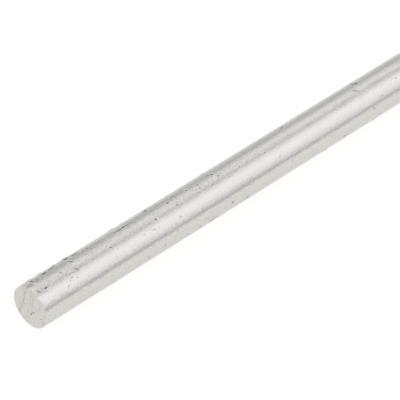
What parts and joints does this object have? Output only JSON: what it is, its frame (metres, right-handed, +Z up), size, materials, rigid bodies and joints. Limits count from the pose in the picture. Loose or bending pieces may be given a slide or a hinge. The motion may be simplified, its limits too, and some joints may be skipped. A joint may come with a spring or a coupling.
{
  "type": "round metal bar",
  "caption": "Straight solid round aluminium bar of mill-finish stock, sawn square at both ends with the rims lightly broken, lying on its side.",
  "frame": {"origin": "on the floor, straight under the middle of the bar, which lies on its side; the bar's axis is one radius (6 mm) above it", "axes": "+X along the bar, from the near sawn end to the far one; +Z up from the floor; +Y across the bar"},
  "size_m": [0.3, 0.012, 0.012],
  "materials": {
    "mill_aluminium": "satin"
  },
  "bodies": {
    "root": {"round_bar": "mill_aluminium"}
  },
  "joints": []
}
